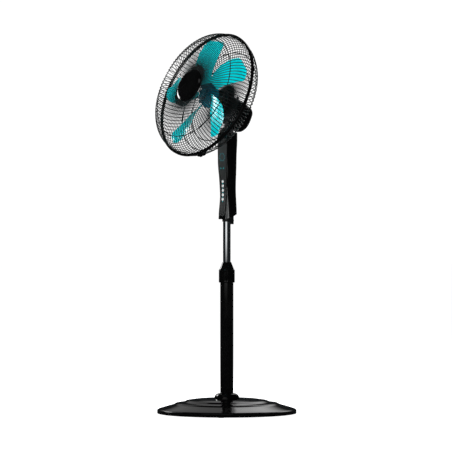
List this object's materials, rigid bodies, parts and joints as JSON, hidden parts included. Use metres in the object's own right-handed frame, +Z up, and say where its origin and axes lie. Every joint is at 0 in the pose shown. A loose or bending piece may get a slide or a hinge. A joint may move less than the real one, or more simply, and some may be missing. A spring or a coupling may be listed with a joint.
{
  "type": "pedestal fan",
  "caption": "Free-standing pedestal fan: weighted round base, telescopic pole, control neck, and a guarded teal impeller on a tilting, swinging head.",
  "frame": {"origin": "on the floor under the middle of the round base, on the pole's axis", "axes": "+Z up along the pole; the fan faces -Y, tilted up at rest; +X is to the right of someone facing the fan's front"},
  "size_m": [0.476, 0.476, 1.2974],
  "materials": {
    "gloss_black": "glossy moulded ABS",
    "satin_black": "fine textured moulding",
    "painted_tube": "gloss enamel on steel tube",
    "chrome": "polished chrome plate",
    "panel": "satin overlay",
    "board": "solder mask",
    "button": "pearl silver caps",
    "guard_wire": "dark epoxy-coated wire",
    "teal": "translucent moulding",
    "steel": "zinc-plated",
    "cast_metal": "as cast",
    "copper": "enamelled copper wire",
    "bronze": "sintered bronze",
    "rubber": "matt"
  },
  "bodies": {
    "base": {"base_cover": "gloss_black", "base_plate": "satin_black", "base_weight": "cast_metal", "foot_pad_1": "rubber", "foot_pad_2": "rubber", "foot_pad_3": "rubber", "foot_pad_4": "rubber", "pole_bolt": "steel", "pole_plug": "cast_metal", "pole_collar": "gloss_black", "outer_pole": "painted_tube", "pole_collet": "satin_black"},
    "lock": {"lock_collar": "gloss_black"},
    "column": {"inner_pole": "chrome", "neck_socket": "satin_black", "socket_screw": "steel", "neck_front": "gloss_black", "neck_rear": "gloss_black", "neck_screw_1": "steel", "neck_screw_2": "steel", "neck_screw_3": "steel", "cord_gland": "rubber", "control_panel": "panel", "control_board": "board", "tilt_fork": "satin_black", "tilt_pin": "steel", "tilt_nut": "steel"},
    "tilt_neck": {"tilt_bracket": "satin_black"},
    "head": {"motor_rear_cover": "gloss_black", "motor_front_cover": "satin_black", "stator": "steel", "winding_front": "copper", "winding_rear": "copper", "motor_bracket": "cast_metal", "swing_bush": "bronze", "rear_bearing": "bronze", "front_bearing": "bronze", "swing_motor": "steel", "run_capacitor": "satin_black", "front_guard": "guard_wire", "rear_guard": "guard_wire", "guard_nut": "satin_black", "guard_ring": "gloss_black", "guard_ring_screw": "steel", "guard_ring_nut": "steel", "front_badge": "gloss_black", "badge_screw": "steel"},
    "impeller": {"fan_blades": "teal", "spinner_nut": "teal", "rotor": "cast_metal", "shaft": "steel", "drive_pin": "steel"},
    "swing_knob": {"swing_knob": "satin_black"},
    "swing_crank": {"swing_crank": "satin_black"},
    "swing_link": {"swing_link": "steel"},
    "button_1": {"button_1": "button"},
    "button_2": {"button_2": "button"},
    "button_3": {"button_3": "button"},
    "button_4": {"button_4": "button"},
    "button_5": {"button_5": "button"}
  },
  "joints": [
    {"name": "lock_turn", "type": "hinge", "parent": "base", "child": "lock", "pos_m": [0, 0, 0.48], "axis": [0, 0, 1], "range_deg": [0, 90]},
    {"name": "column_slide", "type": "slide", "parent": "base", "child": "column", "axis": [0, 0, 1], "range_m": [-0.125, 0.05]},
    {"name": "head_tilt", "type": "hinge", "parent": "column", "child": "tilt_neck", "pos_m": [0, 0, 0.965], "axis": [-1, 0, 0], "range_deg": [-31, 3.5]},
    {"name": "head_swing", "type": "hinge", "parent": "tilt_neck", "child": "head", "pos_m": [0, 0, 0.965], "axis": [0, 0.3665, 0.9304], "range_deg": [-40, 40]},
    {"name": "crank_turn", "type": "hinge", "parent": "head", "child": "swing_crank", "pos_m": [0, 0.04655, 0.97677], "axis": [0, 0.3665, 0.9304], "range_deg": [-40, 40]},
    {"name": "link_turn", "type": "hinge", "parent": "swing_crank", "child": "swing_link", "pos_m": [0.012, 0.046, 0.97538], "axis": [0, 0.3665, 0.9304], "range_deg": [-40, 40]},
    {"name": "blade_spin", "type": "hinge", "parent": "head", "child": "impeller", "pos_m": [0, -0.08932, 1.08618], "axis": [0, -0.9304, 0.3665], "continuous": true},
    {"name": "knob_press", "type": "slide", "parent": "head", "child": "swing_knob", "axis": [0, 0.3665, 0.9304], "range_m": [-0.004, 0]},
    {"name": "button_1_press", "type": "slide", "parent": "column", "child": "button_1", "axis": [0, 1, 0], "range_m": [0, 0.001], "stiffness_N_per_m": 300, "springref_m": -0.0005},
    {"name": "button_2_press", "type": "slide", "parent": "column", "child": "button_2", "axis": [0, 1, 0], "range_m": [0, 0.001], "stiffness_N_per_m": 300, "springref_m": -0.0005},
    {"name": "button_3_press", "type": "slide", "parent": "column", "child": "button_3", "axis": [0, 1, 0], "range_m": [0, 0.001], "stiffness_N_per_m": 300, "springref_m": -0.0005},
    {"name": "button_4_press", "type": "slide", "parent": "column", "child": "button_4", "axis": [0, 1, 0], "range_m": [0, 0.001], "stiffness_N_per_m": 300, "springref_m": -0.0005},
    {"name": "button_5_press", "type": "slide", "parent": "column", "child": "button_5", "axis": [0, 1, 0], "range_m": [0, 0.001], "stiffness_N_per_m": 300, "springref_m": -0.0005}
  ],
  "couplings": [
    {"joint": "crank_turn", "follows": "head_swing", "ratio": -1},
    {"joint": "link_turn", "follows": "head_swing", "ratio": 1}
  ]
}
